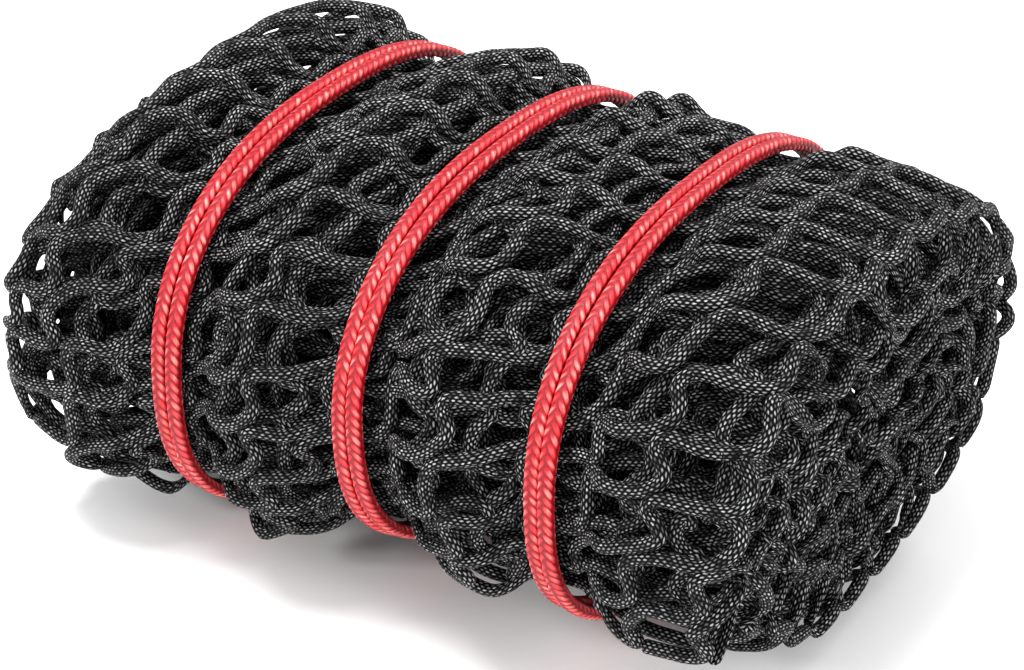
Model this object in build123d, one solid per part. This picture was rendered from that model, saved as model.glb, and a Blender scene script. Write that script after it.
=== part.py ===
from build123d import *
import math
import os

# A knotless climbing net of braided black twine, folded and rolled flat into a bundle and held by
# three red braided ties. Each tie is one cord wound twice round the bundle and knotted at the back.
# X runs along the bundle, Y across it from front to back, Z up. The origin is at the middle of the
# underside of the whole object's box. Millimetres.

# The bundle, over its outermost twine
bundle_length = 318.0
bundle_width = 240.0
bundle_height = 174.0
top_flat_width = 120.0      # the flatter stretch on the top and on the underside
side_flat_height = 87.0     # the flatter stretch of the front and of the back
end_rounding = 36.0         # the edges of the two ends

# The net in it
wrap_thickness = 22.0       # the last turn of the folded net, all round the rest
ply_count = 5               # the folded plies that the last turn holds

# The ties
cord_diameter = 6.5
tie_spacing = 80.0          # from one tie to the next
tie_count = 3
groove_depth = 12.0         # how deep a tight tie presses the net in
turn_gap = 0.4              # between the two turns of one tie
cord_clearance = 0.3        # between a tie and the net under it
tie_travel = 4.0            # how far a tie can be worked along the bundle, each way

# The knot of a tie, at the back
knot_width = 26.0
knot_thickness = 13.0
knot_height = 28.0
knot_rounding = 5.0
knot_overlap = 5.0          # how far the cord's ends run into the knot

run_share = 0.45            # the share of the shorter run that an arc may take
lead_share = 0.85           # the same on a cord's first and last run, which has one arc only

# A tail's route from the knot's middle, as steps across and up, chosen by hand
left_tail_route = [(-9.0, 3.0), (-21.0, -4.0), (-28.0, -16.0), (-30.5, -31.0), (-28.5, -47.0)]
right_tail_route = [(9.0, 5.0), (21.0, 0.0), (29.5, -10.0), (32.0, -23.0), (30.5, -36.0)]

cord_radius = cord_diameter / 2
body_centre_y = -(cord_clearance + knot_thickness) / 2
back_y = body_centre_y + bundle_width / 2
knot_y = back_y + cord_clearance + knot_thickness / 2
middle_z = bundle_height / 2
turn_pitch = cord_diameter + turn_gap
cord_inset = groove_depth - cord_clearance - cord_radius
groove_half_width = turn_pitch / 2 + cord_radius + tie_travel + cord_clearance


def section_corners(inset):
    """The bundle's cross-section as (y, z) corners, each side moved in by inset."""
    half_width = bundle_width / 2
    half_top = top_flat_width / 2
    low = (bundle_height - side_flat_height) / 2
    high = bundle_height - low
    outline = [(half_width, low), (half_width, high), (half_top, bundle_height)]
    outline += [(-half_top, bundle_height), (-half_width, high), (-half_width, low)]
    outline += [(-half_top, 0.0), (half_top, 0.0)]
    corners = [Vector(y, z) for y, z in outline]
    moved = []
    for i, corner in enumerate(corners):
        before = (corner - corners[i - 1]).normalized()
        after = (corners[(i + 1) % len(corners)] - corner).normalized()
        normal_before = Vector(before.Y, -before.X)
        normal_after = Vector(after.Y, -after.X)
        reach = inset / (1 + normal_before.dot(normal_after))
        moved.append(corner - (normal_before + normal_after) * reach + Vector(body_centre_y, 0))
    return moved


def arc_radius(before, corner, after, share_before=run_share, share_after=run_share):
    """The radius of the arc at a corner that takes its share of the runs beside it."""
    half_turn = math.radians((corner - before).get_angle(after - corner)) / 2
    room = min((corner - before).length * share_before, (after - corner).length * share_after)
    return room / math.tan(half_turn)


def section_radii(inset):
    """The arc at each corner of the cross-section, so that every inset of it runs parallel."""
    corners = section_corners(0)
    following = corners[1:] + corners[:1]
    return [arc_radius(corners[i - 1], corner, following[i]) - inset for i, corner in enumerate(corners)]


def section_bar(inset, length):
    """The cross-section as a bar of that length along X, centred on x = 0."""
    outline = FilletPolyline(section_corners(inset), radius=section_radii(inset), close=True)
    return extrude(Plane.YZ.offset(-length / 2) * make_face(outline), amount=length)


def bundle():
    """The whole bundle's outer shape, before the ties press into it."""
    bar = section_bar(0, bundle_length)
    ends = bar.faces().filter_by(Axis.X)
    return fillet(ends.edges(), end_rounding)


def tie_positions():
    """Each tie's place along the bundle, from left to right."""
    middle = (tie_count - 1) / 2
    return [(i - middle) * tie_spacing for i in range(tie_count)]


def tie_grooves():
    """What the ties press out of the net: a band round the bundle for each tie and its travel."""
    band_length = 2 * groove_half_width
    core = section_bar(groove_depth, band_length)
    block = Pos(0, 0, middle_z) * Box(band_length, 2 * bundle_width, 2 * bundle_height)
    return [Pos(x, 0, 0) * (block - core) for x in tie_positions()]


def net_wrap():
    """The last turn of the net, in four panels that meet edge to edge."""
    turn = bundle() - section_bar(wrap_thickness, bundle_length)
    for groove in tie_grooves():
        turn = turn - groove
    half_top = top_flat_width / 2
    level_align = (Align.CENTER, Align.CENTER, Align.MIN)
    upright_align = (Align.CENTER, Align.MIN, Align.MIN)
    level_room = Box(bundle_length, top_flat_width, middle_z, align=level_align)
    upright_room = Box(bundle_length, bundle_width, bundle_height, align=upright_align)
    return {
        "net_wrap_bottom": turn & (Pos(0, body_centre_y, 0) * level_room),
        "net_wrap_top": turn & (Pos(0, body_centre_y, middle_z) * level_room),
        "net_wrap_front": turn & (Pos(0, body_centre_y - half_top - bundle_width, 0) * upright_room),
        "net_wrap_back": turn & (Pos(0, body_centre_y + half_top, 0) * upright_room),
    }


def net_plies():
    """The folded plies inside the last turn, from the lowest up."""
    core = bundle() & section_bar(wrap_thickness, bundle_length)
    thickness = (bundle_height - 2 * wrap_thickness) / ply_count
    room = Box(bundle_length, bundle_width, thickness, align=(Align.CENTER, Align.CENTER, Align.MIN))
    plies = {}
    for i in range(ply_count):
        level = wrap_thickness + i * thickness
        plies[f"net_ply_{i + 1}"] = core & (Pos(0, body_centre_y, level) * room)
    return plies


def cord_along(name, points, radii):
    """A cord of round section along straight runs and arcs, with its length and volume printed."""
    path = FilletPolyline(points, radius=radii)
    disc = Plane(origin=path @ 0, z_dir=path % 0) * Circle(cord_radius)
    cord = sweep(disc, path=path)
    expected = math.pi * cord_radius**2 * path.length
    print(name, "length", round(path.length, 1), "volume share", round(cord.volume / expected, 4))
    print(name, "radii", [round(r, 1) for r in radii])
    return cord


def tie_loop(name, x):
    """One cord wound twice round the bundle. It starts and ends in the knot, and its middle stretch
    passes behind the knot from the left track to the right one."""
    corners = section_corners(cord_inset)
    surface_radii = section_radii(cord_inset)
    left = x - turn_pitch / 2
    right = x + turn_pitch / 2
    # The outline starts at the back's lower corner, so a turn is the rest of it and then that corner.
    order = list(range(1, len(corners))) + [0]
    first_turn = [Vector(left, corners[i].X, corners[i].Y) for i in order]
    second_turn = [Vector(right, corners[i].X, corners[i].Y) for i in order]
    lead_reach = knot_height / 2 - knot_overlap
    start = Vector(left, knot_y, middle_z + lead_reach)
    end = Vector(right, knot_y, middle_z - lead_reach)
    points = [start] + first_turn + second_turn + [end]
    radii = [surface_radii[i] for i in order] * 2
    radii[0] = min(radii[0], arc_radius(*points[:3], share_before=lead_share))
    radii[-1] = min(radii[-1], arc_radius(*points[-3:], share_after=lead_share))
    return cord_along(name, points, radii)


def tie_knot(x):
    """The knot's outer shape, over the turn that passes behind it."""
    block = Box(knot_width, knot_thickness, knot_height)
    rounding = min(knot_rounding, knot_thickness / 2.5)
    return Pos(x, knot_y, middle_z) * fillet(block.edges(), rounding)


def tie_tail(name, x, route):
    """A tie's free end, which leaves the knot and hangs down the back of the bundle."""
    tail_y = back_y + cord_clearance + cord_radius
    points = [Vector(x + across, tail_y, middle_z + up) for across, up in route]
    radii = [arc_radius(*points[i - 1 : i + 2]) for i in range(1, len(points) - 1)]
    return cord_along(name, points, radii)


def ties():
    """Every piece of every tie."""
    names = ["left", "middle", "right"] if tie_count == 3 else [str(i + 1) for i in range(tie_count)]
    pieces = {}
    for name, x in zip(names, tie_positions()):
        tie = f"tie_{name}"
        pieces[f"{tie}_loop"] = tie_loop(f"{tie}_loop", x)
        pieces[f"{tie}_knot"] = tie_knot(x)
        pieces[f"{tie}_tail_a"] = tie_tail(f"{tie}_tail_a", x, left_tail_route)
        pieces[f"{tie}_tail_b"] = tie_tail(f"{tie}_tail_b", x, right_tail_route)
    return pieces


def main():
    os.makedirs("parts", exist_ok=True)
    for node, shape in {**net_wrap(), **net_plies(), **ties()}.items():
        shape.label = node
        export_step(shape, f"parts/{node}.step")


main()
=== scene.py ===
import bmesh
import bpy
import math
import numpy as np
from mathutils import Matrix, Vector


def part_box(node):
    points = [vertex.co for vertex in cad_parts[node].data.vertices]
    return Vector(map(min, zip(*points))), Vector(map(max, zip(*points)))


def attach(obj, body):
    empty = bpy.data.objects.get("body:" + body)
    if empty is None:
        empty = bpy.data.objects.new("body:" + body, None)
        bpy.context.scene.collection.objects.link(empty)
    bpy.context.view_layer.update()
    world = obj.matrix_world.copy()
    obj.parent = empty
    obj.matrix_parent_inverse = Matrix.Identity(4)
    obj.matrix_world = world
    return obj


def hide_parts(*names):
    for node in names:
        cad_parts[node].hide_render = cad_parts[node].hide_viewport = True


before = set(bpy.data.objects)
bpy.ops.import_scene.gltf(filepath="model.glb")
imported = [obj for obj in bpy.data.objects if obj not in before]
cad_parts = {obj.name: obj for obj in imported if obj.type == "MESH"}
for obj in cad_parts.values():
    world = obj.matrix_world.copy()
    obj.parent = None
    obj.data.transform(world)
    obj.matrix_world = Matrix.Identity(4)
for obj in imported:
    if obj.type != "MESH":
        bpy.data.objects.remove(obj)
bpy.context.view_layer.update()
print("cad loaded", len(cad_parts), "nodes")

mm = 0.001

# The rolled bundle as the frame has it: where its middle is and how far it reaches
wrapFront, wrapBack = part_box("net_wrap_front"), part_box("net_wrap_back")
wrapTop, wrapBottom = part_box("net_wrap_top"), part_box("net_wrap_bottom")
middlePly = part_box("net_ply_3")
bundle = {
    "middleY": (wrapFront[0].y + wrapBack[1].y) / 2,
    "halfWidth": (wrapBack[1].y - wrapFront[0].y) / 2,
    "halfHeight": (wrapTop[1].z - wrapBottom[0].z) / 2,
    "halfLength": (middlePly[1].x - middlePly[0].x) / 2,
    "roundness": 2.4,           # exponent of the section: 2 is an ellipse
    "endHigh": 42 * mm,         # how far the top and the underside fall away at the two ends
    "endWide": 22 * mm,         # the same for the front and the back
}
tieNames = ["left", "middle", "right"]
tieBoxes = {name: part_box(f"tie_{name}_loop") for name in tieNames}
tiePlaces = [(tieBoxes[name][0].x + tieBoxes[name][1].x) / 2 for name in tieNames]


def addObject(name, data):
    item = bpy.data.objects.new(name, data)
    bpy.context.collection.objects.link(item)
    return item


def aim(item, place, target):
    # Puts a camera or a lamp at a place, looking at a target
    item.location = place
    item.rotation_mode = "QUATERNION"
    item.rotation_quaternion = (Vector(target) - Vector(place)).to_track_quat("-Z", "Y")


# Camera: looks down on the front from the right
camera = {
    "azimuth": 31.66,           # degrees, from straight in front
    "elevation": 29.88,
    "distance": 1.1455,         # metres
    "lens": 105.6,              # mm
    "target": (0.0047, -0.0134, 0.0842),
}


def makeCamera():
    azimuth, elevation = math.radians(camera["azimuth"]), math.radians(camera["elevation"])
    back = Vector((
        math.sin(azimuth) * math.cos(elevation),
        -math.cos(azimuth) * math.cos(elevation),
        math.sin(elevation),
    ))
    data = bpy.data.cameras.new("viewCamera")
    data.lens = camera["lens"]
    item = addObject("viewCamera", data)
    aim(item, Vector(camera["target"]) + back * camera["distance"], camera["target"])
    bpy.context.scene.camera = item


makeCamera()
print("camera placed")


def hexColour(text):
    # sRGB hex to the linear values that shaders take
    values = [int(text[i:i + 2], 16) / 255 for i in (1, 3, 5)]
    return tuple(v / 12.92 if v <= 0.04045 else ((v + 0.055) / 1.055) ** 2.4 for v in values) + (1.0,)


def addNode(tree, kind, settings=None, inputs=None):
    # An input takes a plain value, a socket, or a node for its first output
    node = tree.nodes.new(kind)
    for key, value in (settings or {}).items():
        setattr(node, key, value)
    for key, value in (inputs or {}).items():
        if isinstance(value, bpy.types.Node):
            value = value.outputs[0]
        if isinstance(value, bpy.types.NodeSocket):
            tree.links.new(value, node.inputs[key])
        else:
            node.inputs[key].default_value = value
    return node


# A stitch's filaments cross their column at a tilt, and it rises steeply from its two ends
stitchShape = {"tilt": -0.45, "endPower": 0.45}


def stitchPattern(tree, cosine, sine, lengthwise, columns, slant):
    # A braid shows columns of slanted stitches, each column leaning against its neighbours.
    # Gives the height, a stitch's two numbers, and the place across and along it.
    step = "ShaderNodeMath"
    angle = addNode(tree, step, {"operation": "ARCTAN2"}, {0: sine, 1: cosine})
    turn = addNode(tree, step, {"operation": "DIVIDE"}, {0: angle, 1: 2 * math.pi})
    around = addNode(tree, step, {"operation": "MULTIPLY"}, {0: turn, 1: columns})
    column = addNode(tree, step, {"operation": "FLOOR"}, {0: around})
    inColumn = addNode(tree, step, {"operation": "FRACT"}, {0: around})
    parity = addNode(tree, step, {"operation": "FLOORED_MODULO"}, {0: column, 1: 2.0})
    lean = addNode(tree, step, {"operation": "MULTIPLY_ADD"}, {0: parity, 1: 2.0, 2: -1.0})
    centred = addNode(tree, step, {"operation": "SUBTRACT"}, {0: inColumn, 1: 0.5})
    leaning = addNode(tree, step, {"operation": "MULTIPLY"}, {0: lean, 1: centred})
    slanted = addNode(tree, step, {"operation": "MULTIPLY_ADD"}, {0: leaning, 1: slant, 2: lengthwise})
    shifted = addNode(tree, step, {"operation": "MULTIPLY_ADD"}, {0: parity, 1: 0.5, 2: slanted})
    stitch = addNode(tree, step, {"operation": "FLOOR"}, {0: shifted})
    inStitch = addNode(tree, step, {"operation": "FRACT"}, {0: shifted})
    lag = addNode(tree, step, {"operation": "SUBTRACT"}, {0: inStitch, 1: 0.5})
    tilt = addNode(tree, step, {"operation": "MULTIPLY"}, {0: lag, 1: lean})
    tilted = addNode(tree, step, {"operation": "MULTIPLY_ADD"},
                     {0: tilt, 1: stitchShape["tilt"], 2: inColumn})
    held = addNode(tree, "ShaderNodeClamp", {}, {"Value": tilted})
    rises = []
    for place in (held, inStitch):
        turned = addNode(tree, step, {"operation": "MULTIPLY"}, {0: place, 1: math.pi})
        rises.append(addNode(tree, step, {"operation": "SINE"}, {0: turned}))
    flank = addNode(tree, step, {"operation": "POWER"}, {0: rises[1], 1: stitchShape["endPower"]})
    height = addNode(tree, step, {"operation": "MULTIPLY"}, {0: rises[0], 1: flank})
    return {"height": height, "column": column, "stitch": stitch, "across": inStitch, "along": inColumn}


# Braid: sweeps a cord along each polyline of a mesh and raises the strands of its braid
def braidTree():
    tree = bpy.data.node_groups.new("braidedCord", "GeometryNodeTree")
    face = tree.interface
    face.new_socket("Paths", in_out="INPUT", socket_type="NodeSocketGeometry")
    for name in ("Radius", "Ring Spacing", "Relief", "Stitch Length", "Slant", "Thickness Share"):
        face.new_socket(name, in_out="INPUT", socket_type="NodeSocketFloat")
    for name in ("Sides", "Columns"):
        face.new_socket(name, in_out="INPUT", socket_type="NodeSocketInt")
    face.new_socket("Material", in_out="INPUT", socket_type="NodeSocketMaterial")
    face.new_socket("Cord", in_out="OUTPUT", socket_type="NodeSocketGeometry")
    given = tree.nodes.new("NodeGroupInput").outputs
    curve = addNode(tree, "GeometryNodeMeshToCurve", {}, {"Mesh": given["Paths"]})
    smooth = addNode(tree, "GeometryNodeCurveSplineType", {"spline_type": "CATMULL_ROM"}, {"Curve": curve})
    rings = addNode(tree, "GeometryNodeResampleCurve", {"mode": "LENGTH"},
                    {"Curve": smooth, "Length": given["Ring Spacing"]})
    outward = addNode(tree, "GeometryNodeInputNamedAttribute", {"data_type": "FLOAT_VECTOR"},
                      {"Name": "outward"})
    aimed = addNode(tree, "GeometryNodeSetCurveNormal", {"mode": "FREE"},
                    {"Curve": rings, "Normal": outward})
    along = addNode(tree, "GeometryNodeSplineParameter")
    rail = addNode(tree, "GeometryNodeCaptureAttribute", {"domain": "POINT"}, {"Geometry": aimed})
    rail.capture_items.new("FLOAT", "along")
    tree.links.new(along.outputs["Length"], rail.inputs["along"])
    circle = addNode(tree, "GeometryNodeCurvePrimitiveCircle", {"mode": "RADIUS"},
                     {"Resolution": given["Sides"], "Radius": given["Radius"]})
    place = addNode(tree, "GeometryNodeInputPosition")
    rim = addNode(tree, "GeometryNodeCaptureAttribute", {"domain": "POINT"}, {"Geometry": circle})
    rim.capture_items.new("VECTOR", "round")
    tree.links.new(place.outputs["Position"], rim.inputs["round"])
    # A pull flattens the cord's section towards what it lies on
    shares = addNode(tree, "ShaderNodeCombineXYZ", {}, {"X": given["Thickness Share"], "Y": 1.0, "Z": 1.0})
    pressed = addNode(tree, "ShaderNodeVectorMath", {"operation": "MULTIPLY"}, {0: place, 1: shares})
    profile = addNode(tree, "GeometryNodeSetPosition", {}, {"Geometry": rim, "Position": pressed})
    tube = addNode(tree, "GeometryNodeCurveToMesh", {},
                   {"Curve": rail, "Profile Curve": profile, "Fill Caps": True})
    # Where each vertex is on the cord: the cosine and sine of its angle, and its place along
    onRim = addNode(tree, "ShaderNodeVectorMath", {"operation": "NORMALIZE"}, {0: rim.outputs["round"]})
    split = addNode(tree, "ShaderNodeSeparateXYZ", {}, {"Vector": onRim})
    cosine, sine = split.outputs["X"], split.outputs["Y"]
    lengthwise = addNode(tree, "ShaderNodeMath", {"operation": "DIVIDE"},
                         {0: rail.outputs["along"], 1: given["Stitch Length"]})
    pattern = stitchPattern(tree, cosine, sine, lengthwise, given["Columns"], given["Slant"])
    centred = addNode(tree, "ShaderNodeMath", {"operation": "SUBTRACT"}, {0: pattern["height"], 1: 0.5})
    lift = addNode(tree, "ShaderNodeMath", {"operation": "MULTIPLY"}, {0: centred, 1: given["Relief"]})
    normal = addNode(tree, "GeometryNodeInputNormal")
    push = addNode(tree, "ShaderNodeVectorMath", {"operation": "SCALE"}, {0: normal, "Scale": lift})
    raised = addNode(tree, "GeometryNodeSetPosition", {}, {"Geometry": tube, "Offset": push})
    where = addNode(tree, "ShaderNodeCombineXYZ", {}, {"X": cosine, "Y": sine, "Z": rail.outputs["along"]})
    stored = addNode(tree, "GeometryNodeStoreNamedAttribute",
                     {"data_type": "FLOAT_VECTOR", "domain": "POINT"},
                     {"Geometry": raised, "Name": "braidPlace", "Value": where})
    soft = addNode(tree, "GeometryNodeSetShadeSmooth", {}, {"Geometry": stored})
    real = addNode(tree, "GeometryNodeRealizeInstances", {}, {"Geometry": soft})
    painted = addNode(tree, "GeometryNodeSetMaterial", {}, {"Geometry": real, "Material": given["Material"]})
    result = tree.nodes.new("NodeGroupOutput")
    tree.links.new(painted.outputs["Geometry"], result.inputs["Cord"])
    return tree


braid = braidTree()


def sweepCord(name, lines, values):
    # lines: each a list of (place, outward). Gives one plain mesh of all of them.
    points = np.array([point for line in lines for point, _ in line], dtype=np.float32)
    normals = np.array([out for line in lines for _, out in line], dtype=np.float32)
    starts = np.cumsum([0] + [len(line) for line in lines])
    edges = [(i, i + 1) for a, b in zip(starts[:-1], starts[1:]) for i in range(a, b - 1)]
    data = bpy.data.meshes.new(name + "Paths")
    data.from_pydata(points.tolist(), edges, [])
    data.attributes.new("outward", "FLOAT_VECTOR", "POINT").data.foreach_set("vector", normals.ravel())
    guide = addObject(name + "Paths", data)
    modifier = guide.modifiers.new("braid", "NODES")
    modifier.node_group = braid
    for item in braid.interface.items_tree:
        if item.in_out == "INPUT" and item.name in values:
            modifier[item.identifier] = values[item.name]
    evaluated = guide.evaluated_get(bpy.context.evaluated_depsgraph_get())
    mesh = bpy.data.meshes.new_from_object(evaluated)
    guide.modifiers.remove(modifier)
    bpy.data.objects.remove(guide)
    mesh.name = name
    return addObject(name, mesh)


# Net: one knotless sheet, folded in three across and rolled up flat. Bars keep their length.
net = {
    "mesh": 30.0 * mm,          # from joint to joint
    "twine": 5.5 * mm,
    "rowsAlong": 62,            # meshes along the roll
    "outerMeshes": 13,          # meshes across the outermost layer, which hangs over the two ends
    "innerMeshes": 10,          # meshes across each of the two layers under it
    "piecesPerBar": 5,
    "mergeLength": 10 * mm,     # how far two twines run side by side at a joint
    "overhang": 25 * mm,        # how far the outermost layer turns in over an end
    "innerReach": 146 * mm,     # where the inner layers fold, from the middle
    "layerStep": 6.6 * mm,      # from one layer to the next
    "turnStep": 20.5 * mm,      # from one turn of the roll to the next
    "stepFrom": 0.83,           # share of a turn after which it goes in under the last one
    "startAngle": -38.0,        # where the net's free edge lies: low on the front
    "coreWidthShare": 0.62,     # a turn's mean half size: this much of the width, the rest of the height
    "mostShrink": 0.86,         # a turn is at least 1 minus this share of the outermost one's length
    "deepest": 0.93,            # in half-heights: the core leaves the middle open
    "topSpacing": 28.0 * mm,    # how far apart the rows lie on the top, which is drawn smooth
    "frontSpacing": 22.8 * mm,  # and on the front, where the net is slack
    "climb": 0.17,              # rows climb round the roll by this share of the way along it
    "slack": 3.3 * mm,          # how far a bar bows
    "scatter": 1.8 * mm,        # how far a joint strays
    "tightestTurn": 0.9,        # two pieces of a bar span at least this share of their length
    "channelDepth": 12.5 * mm,  # what a tie presses in, with the room it needs
    "cornerRoom": 0.08,         # more of it at the section's corners, where a tie lies deeper
    "channelHalf": 12.5 * mm,
    "channelSlope": 12 * mm,
    "channelPower": 1.5,        # how the slope curves
    "flatWidth": 1.05,          # the whole net laid out, in metres
    "flatLength": 1.86,
    "covered": 0.58,            # share of it that is twine
    "beside": 0.42,             # in twine widths: how far either twine of a joint lies to its side
}
# How the net is relaxed: at each step lengths, bends, contacts and depths are put right a little
relax = {
    "steps": 260,
    "contactShare": 0.97,       # twines touch at this share of their width
    "searchRoom": 3 * mm,       # pairs up to this much further apart are followed
    "searchEvery": 7,
    "crowding": 0.6,            # power of a point's number of contacts that slows its push
    "pressedShare": 0.45,       # under a tie the layers keep this share of their spacing
    "outerWithin": 1.5,         # in twine widths: points meant to lie this deep are the outermost layer
    "outerPull": 0.3,           # share of the way to its own depth that a point goes in a step
    "innerPull": 0.12,
    "seed": 11,
}


def sectionHalves(x):
    # Half the width and half the height of the bundle at x, rounded off towards the ends
    left = np.clip(bundle["halfLength"] - np.abs(x), 0, None)
    high = 1 - np.clip(left / bundle["endHigh"], 0, 1)
    wide = 1 - np.clip(left / bundle["endWide"], 0, 1)
    halfHeight = bundle["halfHeight"] - bundle["endHigh"] * (1 - np.sqrt(1 - high ** 2))
    halfWidth = bundle["halfWidth"] - bundle["endWide"] * (1 - np.sqrt(1 - wide ** 2))
    return halfWidth, halfHeight


def sectionShares(angles):
    # The outline at angles up from the front, as shares of the half width and the half height
    cosines, sines = np.cos(angles), np.sin(angles)
    power = 2 / bundle["roundness"]
    return -np.sign(cosines) * np.abs(cosines) ** power, np.sign(sines) * np.abs(sines) ** power


def depthAndOutward(points):
    # How deep each point is under the bundle's side, and which way is out
    power = bundle["roundness"]
    halfWidth, halfHeight = sectionHalves(points[:, 0])
    y, z = points[:, 1] - bundle["middleY"], points[:, 2] - bundle["halfHeight"]
    share = (np.abs(y / halfWidth) ** power + np.abs(z / halfHeight) ** power) ** (1 / power) + 1e-6
    slopeY = share ** (1 - power) * np.abs(y / halfWidth) ** (power - 1) * np.sign(y) / halfWidth
    slopeZ = share ** (1 - power) * np.abs(z / halfHeight) ** (power - 1) * np.sign(z) / halfHeight
    steep = np.hypot(slopeY, slopeZ) + 1e-6
    outward = np.stack([np.zeros_like(share), slopeY / steep, slopeZ / steep], axis=1)
    return (1 - share) / steep, outward


def channelAt(x):
    # How deep the ties press the net in at x
    deep = np.zeros_like(x)
    for place in tiePlaces:
        past = np.clip((np.abs(x - place) - net["channelHalf"]) / net["channelSlope"], 0, 1)
        deep = np.maximum(deep, net["channelDepth"] * (1 - past ** net["channelPower"]))
    return deep


# How the finished roll differs from its even section. Angles go round from the top, back positive.
sag = {
    # swelling of the top towards the back, and tuck of the lower front edge: (along, how far), in mm
    "swell": [(-160, 3), (-110, 3.5), (-88, 7), (-69, 2), (-50, -3), (-31, 4.5), (-12, 7), (7, 6.5), (26, 3),
              (45, -9), (64, -2), (88, 2), (100, -1), (118, -6), (136, -4.5), (160, -1)],
    "tuck": [(-160, 2), (-85, 1), (-60, -3), (-37, 4), (-10, 7), (14, 10), (34, 8), (53, 1.5), (72, 4.5),
             (90, 1), (107, 4), (124, 0), (140, -2), (158, -9)],
    "frontSwell": 1.0 * mm,
    "underSwell": 4.0 * mm,     # the underside sinks until it rests
    # where each is greatest, in degrees, and how narrow it is
    "swellBand": (32.0, 1.5),
    "tuckBand": (-142.0, 3),
    "frontBand": (-90.0, 2),
    "underBand": (162.0, 4),
    "rigidFrom": 0.84,          # in half sizes: what lies further out is tucked in as far as a tie is
    "farthest": 1.1,            # and beyond this nothing swells more
    # how much of the rounding at the ends is undone in the height and in the width
    "squareness": {"leftTop": -0.4, "leftBottom": 0.75, "rightTop": 0.25, "rightBottom": 0.05},
    "wideSquareness": {"left": 0.25, "right": 0.3},
    # the outermost meshes hang out over an end: side, how far, where most, share that is even all round
    "stretches": [(1, 6.5 * mm, 16.0, 0.3), (-1, 2.5 * mm, -115.0, 0.0)],
    "stretchFrom": 95 * mm,
    "looseLoops": [
        # where a loop of the net stands off: along, degrees round from the top, how far
        (-57 * mm, -138.0, 9 * mm), (-22 * mm, -150.0, 5 * mm), (118 * mm, -146.0, 7 * mm),
        (-98 * mm, -140.0, 7 * mm), (112 * mm, 24.0, 4 * mm), (-128 * mm, -120.0, 6 * mm),
        (150 * mm, -135.0, 8 * mm),
    ],
    "loopReach": 11 * mm,
    "loopFrom": 0.86,           # in half sizes: only what lies outside this stands off,
    "loopFade": 0.1,            # in full this much further out
}


def settle(points):
    points = np.array(points, dtype=float)
    x, y, z = points[:, 0], points[:, 1] - bundle["middleY"], points[:, 2] - bundle["halfHeight"]
    halfWidth, halfHeight = sectionHalves(x)
    square, wide = sag["squareness"], sag["wideSquareness"]
    share = np.where(
        x < 0,
        np.where(z > 0, square["leftTop"], square["leftBottom"]),
        np.where(z > 0, square["rightTop"], square["rightBottom"]),
    )
    z = z * (1 + share * (bundle["halfHeight"] / halfHeight - 1))
    y = y * (1 + np.where(x < 0, wide["left"], wide["right"]) * (bundle["halfWidth"] / halfWidth - 1))
    angle = np.arctan2(y / bundle["halfWidth"], z / bundle["halfHeight"])
    reach = np.clip(np.hypot(y / bundle["halfWidth"], z / bundle["halfHeight"]), 0, sag["farthest"])

    def band(name):
        degrees, power = sag[name]
        return np.clip(np.cos(angle - math.radians(degrees)), 0, 1) ** power

    # Swelling fades towards the core and where a tie holds the net
    free = 1 - channelAt(x) / net["channelDepth"]
    swell, tuck = (np.interp(x / mm, *zip(*sag[name])) * mm for name in ("swell", "tuck"))
    puff = (band("swellBand") * swell + band("frontBand") * sag["frontSwell"]
            + band("underBand") * sag["underSwell"]) * reach ** 2
    loose = np.zeros_like(x)
    for along, degrees, far in sag["looseLoops"]:
        off = (angle - math.radians(degrees) + math.pi) % (2 * math.pi) - math.pi
        gap = np.hypot(x - along, off * bundle["halfHeight"]) / sag["loopReach"]
        loose += far * np.exp(-gap ** 2) * np.clip((reach - sag["loopFrom"]) / sag["loopFade"], 0, 1)
    tucked = band("tuckBand") * tuck * np.clip(reach / sag["rigidFrom"], 0, 1)
    out = (puff + loose) * free - tucked
    y += np.sin(angle) * out
    z += np.cos(angle) * out
    for side, far, degrees, even in sag["stretches"]:
        past = np.clip((side * x - sag["stretchFrom"]) / (bundle["halfLength"] - sag["stretchFrom"]), 0, 1)
        x = x + side * far * past ** 2 * (even + (1 - even) * np.cos(angle - math.radians(degrees)))
    return np.stack([x, y + bundle["middleY"], z + bundle["halfHeight"]], axis=1)


# The outline once round, from the net's free edge up the front: fraction of the way to (y, z) shares
shareY, shareZ = sectionShares(math.radians(net["startAngle"]) + np.linspace(0, 2 * math.pi, 1441))
stretches = np.hypot(np.diff(shareY) * bundle["halfWidth"], np.diff(shareZ) * bundle["halfHeight"])
roundLength = stretches.sum()
fractions = np.concatenate([[0], np.cumsum(stretches)]) / roundLength


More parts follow.
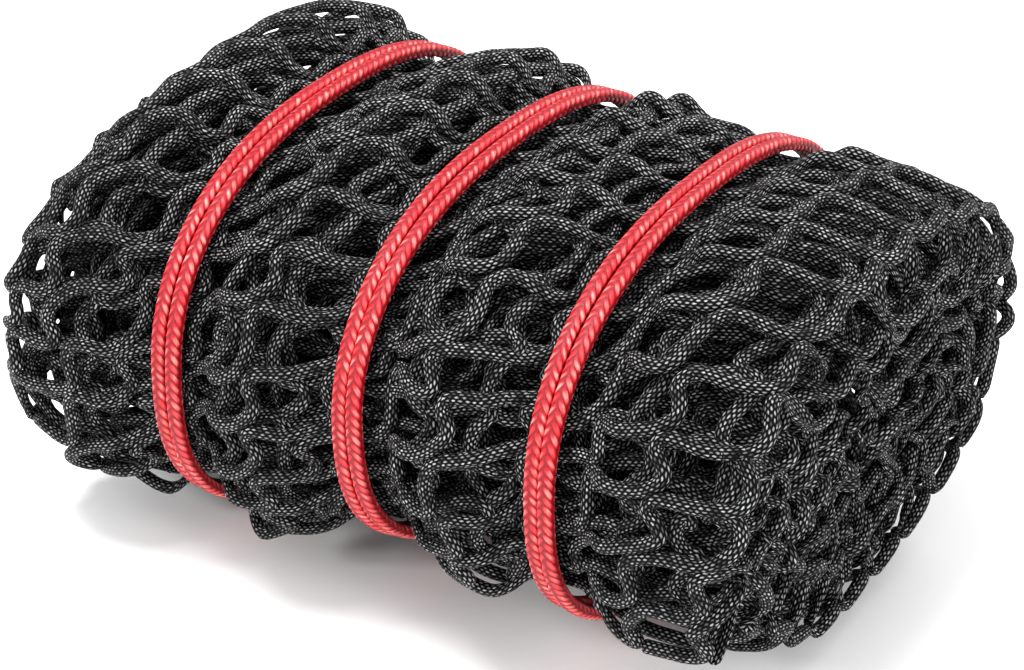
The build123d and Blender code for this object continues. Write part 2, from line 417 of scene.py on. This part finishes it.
def layOut():
    # Joints of the flat net, laid on the roll: across (zigzag over three layers) by along
    outer, inner, rows = net["outerMeshes"], net["innerMeshes"], net["rowsAlong"]
    reach = bundle["halfLength"] + net["overhang"]
    across = np.concatenate([
        np.linspace(-reach, reach, outer + 1),
        np.linspace(net["innerReach"], -net["innerReach"], inner + 1),
        np.linspace(-net["innerReach"], net["innerReach"], inner + 1),
    ])
    layer = np.repeat([0, 1, 2], [outer + 1, inner + 1, inner + 1])
    widthShare = net["coreWidthShare"]
    meanHalf = widthShare * bundle["halfWidth"] + (1 - widthShare) * bundle["halfHeight"]
    turns, way = [], 0.0
    for _ in range(rows + 1):
        turns.append(way)
        high = np.interp(way % 1, fractions, shareZ)
        spacing = net["frontSpacing"] + (net["topSpacing"] - net["frontSpacing"]) * max(high, 0) ** 2
        shrink = 1 - min(net["turnStep"] * way / meanHalf, net["mostShrink"])
        way += spacing / (roundLength * shrink)
    turns = np.array(turns)
    climb = net["climb"] * np.clip(across, -bundle["halfLength"], bundle["halfLength"]) / roundLength
    around = turns[None, :] + climb[:, None]
    # Each turn keeps its depth most of the way, then steps in under the one before
    step = np.clip((turns % 1 - net["stepFrom"]) / (1 - net["stepFrom"]), 0, 1)
    sunk = np.floor(turns) + step * step * (3 - 2 * step)
    deep = net["twine"] / 2 + net["layerStep"] * layer[:, None] + net["turnStep"] * sunk[None, :]
    return across, around, deep


def onRoll(across, around, deep):
    # The place of a point of the net, with what hangs over an end turned in
    edge = bundle["halfLength"] - net["twine"] / 2
    x = np.clip(across, -edge, edge)
    halfWidth, halfHeight = sectionHalves(x)
    inset = deep + np.abs(across - x)
    inset = np.minimum(inset, net["deepest"] * halfHeight)
    y = bundle["middleY"] + np.interp(around % 1, fractions, shareY) * (halfWidth - inset)
    z = bundle["halfHeight"] + np.interp(around % 1, fractions, shareZ) * (halfHeight - inset)
    return np.stack([x, y, z], axis=-1)


def closePairs(points, reach):
    # Every two points nearer than reach, found by sorting them into cells
    cells = np.floor(points / reach).astype(np.int64)
    cells -= cells.min(axis=0) - 1
    size = cells.max(axis=0) + 2
    steps = np.array([size[1] * size[2], size[2], 1])
    keys = cells @ steps
    order = np.argsort(keys, kind="stable")
    ranked = keys[order]
    found = []
    shifts = [(i, j, k) for i in (-1, 0, 1) for j in (-1, 0, 1) for k in (-1, 0, 1)]
    # A point's own cell and half of those round it, so that no pair is found twice
    for shift in shifts[len(shifts) // 2:]:
        first = np.searchsorted(ranked, keys + np.array(shift) @ steps, "left")
        last = np.searchsorted(ranked, keys + np.array(shift) @ steps, "right")
        count = last - first
        one = np.repeat(np.arange(len(points)), count)
        within = np.arange(count.sum()) - np.repeat(np.cumsum(count) - count, count)
        two = order[np.repeat(first, count) + within]
        keep = two > one if shift == (0, 0, 0) else np.ones(len(one), bool)
        found.append(np.stack([one[keep], two[keep]], axis=1))
    pairs = np.concatenate(found)
    apart = points[pairs[:, 0]] - points[pairs[:, 1]]
    return pairs[(apart ** 2).sum(axis=1) < reach ** 2]


def relaxNet():
    random = np.random.default_rng(relax["seed"])
    across, around, deep = layOut()
    (columns, rows), pieces = around.shape, net["piecesPerBar"]
    joints = onRoll(np.repeat(across[:, None], rows, axis=1), around, deep)
    number = np.arange(columns * rows).reshape(columns, rows)
    # Bars across the strip, then bars along it, as pairs of joints
    acrossBars = np.stack([number[:-1].ravel(), number[1:].ravel()], axis=1)
    alongBars = np.stack([number[:, :-1].ravel(), number[:, 1:].ravel()], axis=1)
    bars = np.concatenate([acrossBars, alongBars])
    joints = joints.reshape(-1, 3)
    steps = np.arange(1, pieces) / pieces
    first, last = joints[bars[:, 0], None], joints[bars[:, 1], None]
    middle = first * (1 - steps[None, :, None]) + last * steps[None, :, None]
    flatDeep = deep.ravel()
    barDeep = flatDeep[bars[:, 0], None] * (1 - steps) + flatDeep[bars[:, 1], None] * steps
    points = np.concatenate([joints, middle.reshape(-1, 3)])
    wanted = np.concatenate([flatDeep, barDeep.ravel()])
    over = np.abs(np.repeat(across[:, None], rows, axis=1)).ravel() > bundle["halfLength"]
    barOver = np.repeat((over[bars[:, 0]] | over[bars[:, 1]])[:, None], pieces - 1, axis=1)
    hanging = np.concatenate([over, barOver.ravel()])
    # Each bar bows its own way
    bow = random.normal(0, 1, (len(bars), 3)) * net["slack"]
    arch = np.sin(math.pi * steps)
    points[len(joints):] += (bow[:, None, :] * arch[None, :, None]).reshape(-1, 3)
    points[:len(joints)] += random.normal(0, net["scatter"], joints.shape)
    inside = len(joints) + np.arange(len(bars) * (pieces - 1)).reshape(len(bars), pieces - 1)
    chain = np.concatenate([bars[:, :1], inside, bars[:, 1:]], axis=1)
    # Links are solved in groups that share no point
    halves = [np.arange(len(acrossBars)), len(acrossBars) + np.arange(len(alongBars))]
    everyBar = np.arange(len(bars))

    def linkGroups(span):
        groups = []
        for start in range(pieces + 1 - span):
            touchesJoint = start == 0 or start + span == pieces
            for chosen in (halves if touchesJoint else [everyBar]):
                groups.append((chain[chosen, start], chain[chosen, start + span]))
        return groups

    lengths, bends = linkGroups(1), linkGroups(2)
    rest = net["mesh"] / pieces
    barOf = np.concatenate([-1 - np.arange(len(joints)), np.repeat(everyBar, pieces - 1)])
    stepOf = np.concatenate([np.zeros(len(joints), int), np.tile(np.arange(1, pieces), len(bars))])
    ends = np.concatenate([np.stack([np.arange(len(joints)), -1 - np.arange(len(joints))], axis=1),
                           np.repeat(bars, pieces - 1, axis=0)])
    reachOf = np.stack([stepOf, pieces - stepOf], axis=1)
    reachOf[:len(joints)] = 0
    contact = net["twine"] * relax["contactShare"]
    lowest = net["twine"] / 2
    endLimit = bundle["halfLength"] - lowest
    outermost = wanted < relax["outerWithin"] * net["twine"]
    pace = np.where(hanging, 0.0, np.where(outermost, relax["outerPull"], relax["innerPull"]))

    def worthTesting(pairs):
        a, b = pairs[:, 0], pairs[:, 1]
        near = (barOf[a] == barOf[b]) & (np.abs(stepOf[a] - stepOf[b]) <= 2)
        for i in range(2):
            for j in range(2):
                near |= (ends[a, i] == ends[b, j]) & (reachOf[a, i] + reachOf[b, j] <= 2)
        return pairs[~near]

    for step in range(relax["steps"]):
        if step % relax["searchEvery"] == 0:
            pairs = worthTesting(closePairs(points, contact + relax["searchRoom"]))
        gap = points[pairs[:, 0]] - points[pairs[:, 1]]
        far = np.sqrt((gap ** 2).sum(axis=1)) + 1e-9
        close = far < contact
        a, b = pairs[close, 0], pairs[close, 1]
        push = gap[close] * ((contact - far[close]) / far[close] * 0.5)[:, None]
        total = len(points)
        hits = np.bincount(a, minlength=total) + np.bincount(b, minlength=total)
        moved = np.stack([
            np.bincount(a, push[:, k], total) - np.bincount(b, push[:, k], total) for k in range(3)
        ], axis=1)
        points += moved / np.maximum(hits, 1)[:, None] ** relax["crowding"]
        for a, b in bends:
            gap = points[b] - points[a]
            far = np.sqrt((gap ** 2).sum(axis=1)) + 1e-9
            short = np.clip(2 * rest * net["tightestTurn"] - far, 0, None) / far * 0.5
            points[a] -= gap * short[:, None]
            points[b] += gap * short[:, None]
        for _ in range(2):
            for a, b in lengths:
                gap = points[b] - points[a]
                far = np.sqrt((gap ** 2).sum(axis=1)) + 1e-9
                fix = gap * ((far - rest) / far * 0.5)[:, None]
                points[a] += fix
                points[b] -= fix
        # Keep each layer near its own depth, everything inside the bundle and clear of the ties
        here, outward = depthAndOutward(points)
        channel = channelAt(points[:, 0])
        channel *= 1 + net["cornerRoom"] * 2 * np.abs(outward[:, 1] * outward[:, 2])
        goal = np.maximum(wanted, channel + lowest + relax["pressedShare"] * (wanted - lowest))
        pull = pace * (goal - here)
        least = channel + lowest
        pull = np.where(here + pull < least, least - here, pull)
        points -= outward * pull[:, None]
        np.clip(points[:, 0], -endLimit, endLimit, out=points[:, 0])
        np.clip(points[:, 2], lowest, None, out=points[:, 2])
    points = settle(points)
    points[:, 2] = np.maximum(points[:, 2], lowest)
    stretched = np.linalg.norm(points[chain[:, 1:]] - points[chain[:, :-1]], axis=2)
    print("net relaxed:", len(points), "points, piece length", round(stretched.mean() / mm, 2),
          "spread", round(stretched.std() / mm, 2))
    return points, chain, number, len(acrossBars)


def strandPaths(points, chain, number, acrossCount):
    # Each twine goes across, then along, and so on, and lies beside its neighbour at every joint
    columns, rows = number.shape
    here, outward = depthAndOutward(points)
    acrossBar = np.arange(acrossCount).reshape(columns - 1, rows)
    alongBar = acrossCount + np.arange(columns * (rows - 1)).reshape(columns, rows - 1)
    beside, before = net["beside"] * net["twine"], net["mergeLength"] / 2

    def through(i, j, incoming, outgoing, side):
        # The two places where a twine enters and leaves a joint
        joint = points[number[i, j]]
        ahead = joint - points[incoming[-2]]
        aside = points[outgoing[1]] - joint
        turned = ahead + aside
        turned /= np.linalg.norm(turned) + 1e-9
        out = outward[number[i, j]]
        left = np.cross(out, turned) * side
        shifted = joint + left * beside
        return [(shifted - turned * before, out), (shifted + turned * before, out)]

    strands = []
    starts = [(i, 0, "across") for i in range(columns - 1)] + [(0, j, "along") for j in range(rows - 1)]
    for i, j, way in starts:
        legs, places = [], []
        while True:
            if way == "across":
                if i == columns - 1:
                    break
                legs.append(chain[acrossBar[i, j]])
                i, way = i + 1, "along"
            else:
                if j == rows - 1:
                    break
                legs.append(chain[alongBar[i, j]])
                j, way = j + 1, "across"
            places.append((i, j, "across" if way == "along" else "along"))
        path = [(points[legs[0][0]], outward[legs[0][0]], 0)]
        for k, leg in enumerate(legs):
            path += [(points[p], outward[p], k) for p in leg[2:-2]]
            if k + 1 < len(legs):
                ci, cj, came = places[k]
                entry, leave = through(ci, cj, leg, legs[k + 1], 1 if came == "across" else -1)
                path += [(*entry, k), (*leave, k + 1)]
        path.append((points[legs[-1][-1]], outward[legs[-1][-1]], len(legs) - 1))
        strands.append(path)
    return strands


# Materials: both cords are braided polypropylene, flat shiny filaments; their glint is a painted highlight
# in the colour, stitch by stitch, and the grooves between stitches get painted shade
def braidMaterial(name, look):
    material = bpy.data.materials.new(name)
    material.use_nodes = True
    tree = material.node_tree
    tree.nodes.clear()
    step = "ShaderNodeMath"
    place = addNode(tree, "ShaderNodeAttribute", {"attribute_name": "braidPlace"})
    split = addNode(tree, "ShaderNodeSeparateXYZ", {}, {"Vector": place.outputs["Vector"]})
    # Stitches differ a little in length along the cord
    uneven = addNode(tree, "ShaderNodeTexNoise", {"noise_dimensions": "1D"},
                     {"W": split.outputs["Z"], "Scale": look["unevenScale"], "Detail": 1.0})
    run = addNode(tree, step, {"operation": "DIVIDE"}, {0: split.outputs["Z"], 1: look["stitchLength"]})
    lengthwise = addNode(tree, step, {"operation": "MULTIPLY_ADD"}, {0: uneven, 1: look["uneven"], 2: run})
    pattern = stitchPattern(tree, split.outputs["X"], split.outputs["Y"], lengthwise,
                            look["columns"], look["slant"])
    # Filaments run along each stitch, so the noise is stretched that way
    fine = addNode(tree, step, {"operation": "MULTIPLY"}, {0: pattern["across"], 1: look["filaments"]})
    coarse = addNode(tree, step, {"operation": "MULTIPLY"}, {0: pattern["along"], 1: look["breaks"]})
    number = addNode(tree, "ShaderNodeCombineXYZ", {}, {"X": pattern["column"], "Y": pattern["stitch"]})
    tone = addNode(tree, "ShaderNodeTexWhiteNoise", {"noise_dimensions": "3D"}, {"Vector": number})
    # Each stitch takes its own slice of the noise
    ownPart = addNode(tree, step, {"operation": "MULTIPLY"}, {0: tone, 1: look["slices"]})
    thread = addNode(tree, "ShaderNodeCombineXYZ", {}, {"X": fine, "Y": coarse, "Z": ownPart})
    filament = addNode(tree, "ShaderNodeTexNoise", {"noise_dimensions": "3D"},
                       {"Vector": thread, "Scale": 1.0, "Detail": 2.0, "Roughness": 0.6})
    relief = addNode(tree, step, {"operation": "MULTIPLY_ADD"},
                     {0: filament, 1: look["filamentRelief"], 2: pattern["height"]})
    bump = addNode(tree, "ShaderNodeBump", {},
                   {"Strength": look["bump"], "Distance": look["stitchHeight"], "Height": relief})
    # Colour: painted shade, dark between the stitches, and a painted highlight, pale on a stitch's crown
    # where its filaments catch the light
    crown = addNode(tree, "ShaderNodeMapRange", {"interpolation_type": "SMOOTHSTEP"},
                    {"Value": pattern["height"], "From Min": look["grooveShadeTo"], "From Max": look["bodyFrom"]})
    # Painted shade: the deep colour darkens the grooves between the stitches
    base = addNode(tree, "ShaderNodeMix", {"data_type": "RGBA"},
                   {"Factor": crown, 6: hexColour(look["deep"]), 7: hexColour(look["body"])})
    # Painted highlight: the filaments' glint on a stitch's crown, put into the colour and brighter on some
    # stitches than on others
    glintRidge = addNode(tree, step, {"operation": "MULTIPLY_ADD"},
                   {0: filament, 1: look["filamentShare"], 2: pattern["height"]})
    paintedGlint = addNode(tree, "ShaderNodeMapRange", {"interpolation_type": "SMOOTHSTEP"},
                    {"Value": glintRidge, "From Min": look["glintFrom"], "From Max": look["glintFull"]})
    luck = addNode(tree, "ShaderNodeMapRange", {},
                   {"Value": tone.outputs["Value"], "From Min": look["dullStitches"], "From Max": 1.0,
                    "To Min": look["dullest"], "To Max": 1.0})
    amount = addNode(tree, step, {"operation": "MULTIPLY"}, {0: paintedGlint, 1: luck})
    colour = addNode(tree, "ShaderNodeMix", {"data_type": "RGBA"},
                     {"Factor": amount, 6: base.outputs[2], 7: hexColour(look["paintedGlint"])})
    # Slow changes of shade along the cord, as dye lots and handling leave them
    where = addNode(tree, "ShaderNodeTexCoord")
    cloud = addNode(tree, "ShaderNodeTexNoise", {},
                    {"Vector": where.outputs["Object"], "Scale": look["cloudScale"], "Detail": 2.0})
    shade = addNode(tree, "ShaderNodeMapRange", {},
                    {"Value": cloud, "From Min": 0.3, "From Max": 0.7, "To Min": look["darkest"]})
    tinted = addNode(tree, "ShaderNodeMix", {"data_type": "RGBA", "blend_type": "MULTIPLY"},
                     {"Factor": 1.0, 6: colour.outputs[2], 7: shade})
    dull = addNode(tree, "ShaderNodeMapRange", {},
                   {"Value": amount, "To Min": look["roughness"], "To Max": look["glintRoughness"]})
    shader = addNode(tree, "ShaderNodeBsdfPrincipled", {},
                     {"Base Color": tinted.outputs[2], "Roughness": dull, "Normal": bump,
                      "IOR": look["refraction"], "Specular IOR Level": look["specular"]})
    output = tree.nodes.new("ShaderNodeOutputMaterial")
    tree.links.new(shader.outputs[0], output.inputs["Surface"])
    return material


# Twine: fine round braid, dyed black; painted highlights on its shiny filaments show as short pale dashes,
# and painted shade darkens the grooves between its stitches
twineLook = {
    "columns": 14, "stitchLength": 2.5 * mm, "slant": 0.6, "stitchHeight": 0.30 * mm,
    "uneven": 0.7, "unevenScale": 110.0,
    "filaments": 2.0, "breaks": 3.0, "filamentRelief": 0.6, "bump": 1.0,
    # the deep colour is painted shade between the stitches, the pale one a painted highlight on their crowns
    "deep": "#000000", "body": "#070707", "grooveShadeTo": 0.3, "bodyFrom": 0.9, "paintedGlint": "#c6c6c8",
    "filamentShare": 1.0, "glintFrom": 1.10, "glintFull": 1.55, "dullStitches": 0.0, "dullest": 0.08,
    "cloudScale": 18.0, "darkest": 0.6,
    "roughness": 0.6, "glintRoughness": 0.42, "specular": 0.08, "refraction": 1.49, "slices": 37.0,
}
# Tie cord: coarse braid of bright red yarn, four columns of long stitches with painted highlights on their
# crowns and painted shade between them
tieLook = {
    "columns": 4, "stitchLength": 3.8 * mm, "slant": 1.6, "stitchHeight": 0.5 * mm,
    "uneven": 0.6, "unevenScale": 70.0,
    "filaments": 2.6, "breaks": 1.6, "filamentRelief": 0.5, "bump": 0.9,
    # the deep colour is painted shade between the stitches, the pale one a painted highlight on their crowns
    "deep": "#80000f", "body": "#d4081e", "grooveShadeTo": 0.15, "bodyFrom": 0.8, "paintedGlint": "#ff9d94",
    "filamentShare": 1.1, "glintFrom": 1.05, "glintFull": 1.75, "dullStitches": 0.0, "dullest": 0.1,
    "cloudScale": 22.0, "darkest": 0.92,
    "roughness": 0.5, "glintRoughness": 0.38, "specular": 0.35, "refraction": 1.49, "slices": 37.0,
}
twineMaterial = braidMaterial("blackBraidedPolypropylene", twineLook)
tieMaterial = braidMaterial("redBraidedPolypropylene", tieLook)

# The net's pieces: the outermost layer by side, then what shows between its twines, then the rest
netPieces = {
    "outer": {"sides": 14, "ring": 2.0 * mm},
    "second": {"sides": 10, "ring": 2.8 * mm},
    "inner": {"sides": 6, "ring": 5.0 * mm},
    "outerDepth": 8.5 * mm,     # twines at most this deep are drawn in full
    "secondDepth": 19 * mm,
    "endZone": 26 * mm,         # near an end every layer shows
    "sideLean": 0.72,           # a bar that faces the front or the back at least this squarely lies there
    "flatness": 0.94,           # a twine's thickness, in its widths
}
netStands = {
    "net_outer_top": ["net_wrap_top"],
    "net_outer_front": ["net_wrap_front"],
    "net_outer_back": ["net_wrap_back"],
    "net_outer_bottom": ["net_wrap_bottom"],
    "net_second": ["net_ply_5"],
    "net_ends": ["net_ply_4", "net_ply_2"],
    "net_inner": ["net_ply_3", "net_ply_1"],
}


def legPiece(places, outs):
    # Which piece a bar of the net belongs to
    depth = depthAndOutward(places)[0].mean()
    nearEnd = np.abs(places[:, 0]).max() > bundle["halfLength"] - netPieces["endZone"]
    if depth < netPieces["outerDepth"]:
        out = outs.mean(axis=0)
        if abs(out[1]) > netPieces["sideLean"]:
            return "net_outer_back" if out[1] > 0 else "net_outer_front"
        return "net_outer_top" if out[2] > 0 else "net_outer_bottom"
    if nearEnd:
        return "net_ends"
    return "net_second" if depth < netPieces["secondDepth"] else "net_inner"


def buildNet():
    lines = {name: [] for name in netStands}
    for path in strandPaths(*relaxNet()):
        places = np.array([p for p, _, _ in path])
        outs = np.array([o for _, o, _ in path])
        legs = np.array([leg for _, _, leg in path])
        # Soften the corners that the pieces of a bar make
        eased = places.copy()
        eased[1:-1] = 0.5 * places[1:-1] + 0.25 * (places[:-2] + places[2:])
        homes = [legPiece(places[legs == leg], outs[legs == leg]) for leg in range(legs.max() + 1)]
        run = [(eased[0], outs[0])]
        for i in range(1, len(path)):
            run.append((eased[i], outs[i]))
            last = i == len(path) - 1
            if last or homes[legs[i + 1]] != homes[legs[i]]:
                # A run laps over the next by one point, so the cord is whole where pieces meet
                lines[homes[legs[i]]].append(run if last else run + [(eased[i + 1], outs[i + 1])])
                run = [(eased[i], outs[i])]
    for name, runs in lines.items():
        kind = netPieces["outer" if "outer" in name else "inner" if "inner" in name else "second"]
        runs = [run for run in runs if len(run) > 1]
        values = {
            "Radius": net["twine"] / 2, "Ring Spacing": kind["ring"], "Sides": kind["sides"], "Relief": 0.0,
            "Stitch Length": twineLook["stitchLength"], "Slant": twineLook["slant"],
            "Thickness Share": netPieces["flatness"], "Columns": twineLook["columns"],
            "Material": twineMaterial,
        }
        piece = sweepCord(name, runs, values)
        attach(piece, "net")
        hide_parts(*netStands[name])


buildNet()
print("net built")

# Ties: a red cord twice round the roll, its two ends tied in a reef knot at the back
tie = {
    "cord": 6.5 * mm,
    "inset": 8.45 * mm,         # how deep the middle of the cord lies under the bundle's side
    "apart": 6.25 * mm,         # from one turn to the next
    "changeFrom": 0.93,         # in turns: where the cord changes over, and how long that takes
    "changeOver": 0.14,
    "wander": 0.45 * mm,        # how far a turn strays sideways,
    "wanderCounts": (2, 5, 9),  # this many times in a turn
    "points": 260,
    "leadFrom": 50 * mm,        # the ends lift off this far above and below the knot
    "leadTurns": 0.2,           # and within this many turns of it
    "knotLift": 2.6 * mm,
    "knotReach": 14 * mm,
    "knotAside": 3.3 * mm,
    "width": 0.95,              # the braid packs down a little under load
    "flatness": 0.88,
    "relief": 0.45 * mm,
    "sides": 18,
    "ring": 1.3 * mm,
    "seed": 5,
}
# One strand of the knot, in mm: across, up, and out from the knot's middle
knotStrand = [(-3.3, 14, 2.6), (-3.4, 9, 3.4), (-5.5, 3, 3.4), (-8.5, -3, 2.6), (-8, -9, -0.8),
              (-3, -11.3, -3.2), (3, -11.3, -3.3), (8.6, -8.3, -3.0), (9.3, -3.6, -3.2), (6.6, 0, -3.4),
              (6.4, 3.4, -3.4), (9, 5, -3.25)]
otherStrand = [(-x, -z, y) for x, z, y in knotStrand[:6]] + [(-2.6, 11.3, -3.3), (-7.0, 9.0, -3.3),
                                                             (-7.0, 5.4, -3.4), (-9, 3, -3.25)]
# The two tails' routes, in mm across and up from the knot's middle
tailRoutes = {
    "tail_a": [(-9, 3), (-21, -4), (-28, -16), (-30.5, -31), (-28.5, -47)],
    "tail_b": [(9, 5), (21, 0), (29.5, -10), (32, -23), (30.5, -36)],
}
tailHeight = 116.9 * mm         # how far back the tails hang


def tieLine(place, knotY, random):
    # Twice round, from the knot up the back and over the front; the turns change over at the back
    angles = np.linspace(math.pi, -3 * math.pi, 4001)
    shareY, shareZ = sectionShares(angles)
    y = shareY * (bundle["halfWidth"] - tie["inset"]) + bundle["middleY"]
    z = shareZ * (bundle["halfHeight"] - tie["inset"]) + bundle["halfHeight"]
    way = np.concatenate([[0], np.cumsum(np.hypot(np.diff(y), np.diff(z)))])
    places = np.linspace(0, way[-1], tie["points"])
    y, z = np.interp(places, way, y), np.interp(places, way, z)
    turns = places / way[-1] * 2
    over = np.clip((turns - tie["changeFrom"]) / tie["changeOver"], 0, 1)
    x = place + tie["apart"] * (over * over * (3 - 2 * over) - 0.5)
    phases = random.uniform(0, 2 * math.pi, len(tie["wanderCounts"]))
    for count, phase in zip(tie["wanderCounts"], phases):
        x += tie["wander"] / count ** 0.5 * np.sin(count * math.pi * turns + phase)
    # Both ends rise off the net into the knot
    up = np.abs(z - bundle["halfHeight"])
    isEnd = (np.minimum(turns, 2 - turns) < tie["leadTurns"]) & (y > bundle["middleY"])
    share = np.clip((tie["leadFrom"] - up) / (tie["leadFrom"] - tie["knotReach"]), 0, 1)
    lift = np.where(isEnd, share * share * (3 - 2 * share), 0)
    y = y + (knotY + tie["knotLift"] - y) * lift
    x = x + (place + np.where(turns < 1, -1, 1) * tie["knotAside"] - x) * lift
    keep = ~(isEnd & (up < tie["knotReach"]))
    places = settle(np.stack([x, y, z], axis=1))
    _, outward = depthAndOutward(places)
    return [(places[i], outward[i]) for i in np.flatnonzero(keep)]


# A tail's cut end, melted so that it can't fray
seal = {
    "width": 0.97,              # in cord widths
    "lobes": 5,
    "ripple": 0.05,
    "outside": 0.42,            # how far it stands out and how far it reaches in, in half widths
    "inside": 0.6,
    "deep": "#7a0410", "body": "#b80c1c", "spotScale": 900.0,
    "smooth": 0.2, "rough": 0.45, "pitted": 0.5, "pitDepth": 0.2 * mm,
}


def sealedTip(name, place, direction):
    direction = Vector(direction).normalized()
    mesh = bpy.data.meshes.new(name)
    shape = bmesh.new()
    bmesh.ops.create_uvsphere(shape, u_segments=20, v_segments=12, radius=tie["cord"] / 2)
    turn = direction.to_track_quat("Z", "Y")
    for vertex in shape.verts:
        point = vertex.co
        wide = seal["width"] * (1 + seal["ripple"] * math.sin(seal["lobes"] * math.atan2(point.y, point.x)))
        high = seal["outside"] if point.z > 0 else seal["inside"]
        vertex.co = turn @ Vector((point.x * wide, point.y * wide, point.z * high)) + Vector(place)
    shape.to_mesh(mesh)
    shape.free()
    mesh.polygons.foreach_set("use_smooth", [True] * len(mesh.polygons))
    mesh.materials.append(tipMaterial)
    return addObject(name, mesh)


def smoothLine(name, route):
    # Points read along a NURBS curve through the route's control points
    data = bpy.data.curves.new(name + "Route", "CURVE")
    data.dimensions = "3D"
    data.resolution_u = 12
    spline = data.splines.new("NURBS")
    spline.points.add(len(route) - 1)
    for point, place in zip(spline.points, route):
        point.co = (*place, 1.0)
    spline.order_u = 3
    spline.use_endpoint_u = True
    guide = addObject(name + "Route", data)
    line = bpy.data.meshes.new_from_object(guide.evaluated_get(bpy.context.evaluated_depsgraph_get()))
    places = [vertex.co.copy() for vertex in line.vertices]
    bpy.data.objects.remove(guide)
    return places


def meltedMaterial():
    # Melted polypropylene: darker, glossy, faintly pitted
    material = bpy.data.materials.new("meltedRedPolypropylene")
    material.use_nodes = True
    tree = material.node_tree
    shader = tree.nodes["Principled BSDF"]
    where = addNode(tree, "ShaderNodeTexCoord")
    spots = addNode(tree, "ShaderNodeTexNoise", {},
                    {"Vector": where.outputs["Object"], "Scale": seal["spotScale"], "Detail": 3.0})
    shade = addNode(tree, "ShaderNodeMix", {"data_type": "RGBA"},
                    {"Factor": spots, 6: hexColour(seal["deep"]), 7: hexColour(seal["body"])})
    rough = addNode(tree, "ShaderNodeMapRange", {},
                    {"Value": spots, "To Min": seal["smooth"], "To Max": seal["rough"]})
    bump = addNode(tree, "ShaderNodeBump", {},
                   {"Strength": seal["pitted"], "Distance": seal["pitDepth"], "Height": spots})
    tree.links.new(shade.outputs[2], shader.inputs["Base Color"])
    tree.links.new(rough.outputs[0], shader.inputs["Roughness"])
    tree.links.new(bump.outputs[0], shader.inputs["Normal"])
    return material


tipMaterial = meltedMaterial()


def makeTies():
    random = np.random.default_rng(tie["seed"])
    backward = np.array([0.0, 1.0, 0.0])
    values = {
        "Radius": tie["cord"] / 2 * tie["width"], "Ring Spacing": tie["ring"], "Sides": tie["sides"],
        "Relief": tie["relief"], "Stitch Length": tieLook["stitchLength"], "Slant": tieLook["slant"],
        "Thickness Share": tie["flatness"], "Columns": tieLook["columns"], "Material": tieMaterial,
    }
    for name, place in zip(tieNames, tiePlaces):
        body = f"tie_{name}"
        low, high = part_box(f"{body}_knot")
        middle = (low + high) / 2
        loop = sweepCord(f"{body}_turns", [tieLine(place, middle.y, random)], values)
        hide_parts(f"{body}_loop")
        strands = [[(np.array([middle.x + x * mm, middle.y + y * mm, middle.z + z * mm]), backward)
                    for x, z, y in strand] for strand in (knotStrand, otherStrand)]
        knot = sweepCord(f"{body}_reefKnot", strands, values)
        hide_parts(f"{body}_knot")
        for piece in (loop, knot):
            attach(piece, body)
        for tail, route in tailRoutes.items():
            route = [(place + x * mm, tailHeight, middle.z + z * mm) for x, z in route]
            line = smoothLine(f"{body}_{tail}", route)
            end = sweepCord(f"{body}_{tail}_cord", [[(np.array(point), backward) for point in line]], values)
            tip = sealedTip(f"{body}_{tail}_tip", line[-1], line[-1] - line[-2])
            for piece in (end, tip):
                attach(piece, body)
            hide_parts(f"{body}_{tail}")
        print(body, "made,", len(loop.data.polygons) * 2, "triangles in its turns")


makeTies()
print("ties made")

# Floor and light: a plain pale sweep, one broad lamp above and a softer one from each side
stage = {
    "floor": "#ffffff", "floorHalf": 6.0, "floorRoughness": 0.9,
    "sky": "#ffffff", "skyStrength": 0.8,
    "lamps": [
        # name, place, aimed at, size, watts
        ("overhead", (-0.25, -0.25, 1.35), (0.0, 0.0, 0.08), 0.7, 24.0),
        ("frontLeft", (-0.75, -1.25, 0.75), (0.0, 0.0, 0.08), 0.35, 10.0),
        ("right", (1.3, -0.45, 0.6), (0.0, 0.0, 0.08), 0.35, 11.0),
        ("behind", (0.1, 1.3, 0.9), (0.0, 0.0, 0.1), 0.7, 9.0),
    ],
}


def makeStage():
    material = bpy.data.materials.new("palePaper")
    material.use_nodes = True
    shader = material.node_tree.nodes["Principled BSDF"]
    shader.inputs["Base Color"].default_value = hexColour(stage["floor"])
    shader.inputs["Roughness"].default_value = stage["floorRoughness"]
    data = bpy.data.meshes.new("floor")
    half = stage["floorHalf"]
    corners = [(-half, -half, 0), (half, -half, 0), (half, half, 0), (-half, half, 0)]
    data.from_pydata(corners, [], [(0, 1, 2, 3)])
    data.materials.append(material)
    addObject("floor", data)
    bpy.context.scene.view_settings.view_transform = "Standard"
    world = bpy.data.worlds.new("studio")
    bpy.context.scene.world = world
    world.use_nodes = True
    sky = world.node_tree.nodes["Background"]
    sky.inputs["Color"].default_value = hexColour(stage["sky"])
    sky.inputs["Strength"].default_value = stage["skyStrength"]
    for name, place, target, size, watts in stage["lamps"]:
        lamp = bpy.data.lights.new(name, "AREA")
        lamp.shape = "DISK"
        lamp.size = size
        lamp.energy = watts
        aim(addObject(name, lamp), place, target)


makeStage()
print("stage set")
